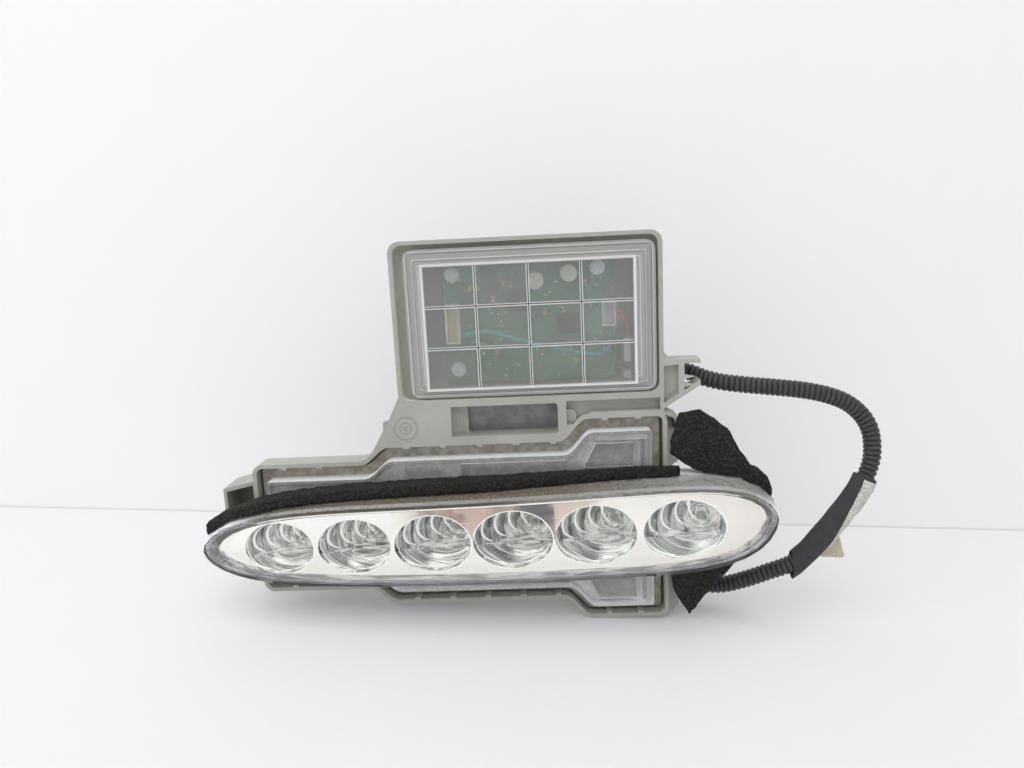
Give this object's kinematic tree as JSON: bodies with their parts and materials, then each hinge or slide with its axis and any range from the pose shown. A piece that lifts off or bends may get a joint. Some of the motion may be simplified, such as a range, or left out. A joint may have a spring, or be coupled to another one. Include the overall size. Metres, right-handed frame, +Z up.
{
  "type": "daytime running light",
  "caption": "Daytime running light: clear pointed-oval lens over stepped reflector cups in a grey housing, with a clear-covered driver box above and a corrugated conduit.",
  "frame": {"origin": "mouth of the middle screw boss on the back of the lamp", "axes": "+X along the lamp towards its conduit, +Y out of the back towards the car, +Z up; the lens faces -Y"},
  "size_m": [0.3371, 0.075, 0.193],
  "materials": {
    "grey_plastic": "moulded, fine texture",
    "clear_lens": "clear, polished",
    "clear_cover": "clear, slightly hazed",
    "mirror_coat": "vacuum coated, bright",
    "sealant": "dull, aged",
    "white_board": "solder mask",
    "green_board": "solder mask",
    "led_resin": "clear resin over phosphor",
    "cast_aluminium": "as cast",
    "sheet_aluminium": "rolled",
    "can_aluminium": "satin",
    "plated_steel": "zinc plated",
    "white_nylon": "moulded",
    "cream_nylon": "moulded",
    "ferrite": "dull",
    "black_resin": "moulded",
    "pale_ceramic": "dull",
    "teal_sleeve": "smooth",
    "red_sleeve": "smooth",
    "black_rubber": "dull",
    "black_conduit": "corrugated, dull",
    "cloth_tape": "woven tape",
    "label_paper": "matt",
    "cream_foam": "soft foam",
    "black_foam": "open-cell foam"
  },
  "bodies": {
    "root": {"housing": "grey_plastic", "outer_lens": "clear_lens", "reflector_bezel": "mirror_coat", "lens_sealant": "sealant", "led_board": "white_board", "led_1": "led_resin", "led_2": "led_resin", "led_3": "led_resin", "led_4": "led_resin", "led_5": "led_resin", "led_6": "led_resin", "heat_sink": "cast_aluminium", "box_cover": "clear_cover", "driver_board": "green_board", "board_screws": "plated_steel", "input_connector": "cream_nylon", "output_connector": "white_nylon", "capacitors": "can_aluminium", "power_inductor": "ferrite", "driver_chip": "black_resin", "chip_resistors": "pale_ceramic", "wire_clips": "white_nylon", "teal_wire": "teal_sleeve", "red_wire": "red_sleeve", "back_plate": "sheet_aluminium", "plate_screws": "plated_steel", "box_grommet": "black_rubber", "lamp_grommet": "black_rubber", "conduit": "black_conduit", "tape_wrap": "cloth_tape", "tape_label": "label_paper", "foam_tag": "cream_foam", "foam_strip": "black_foam", "foam_patch_upper": "black_foam", "foam_patch_lower": "black_foam", "vent_cap": "black_rubber"}
  },
  "joints": []
}
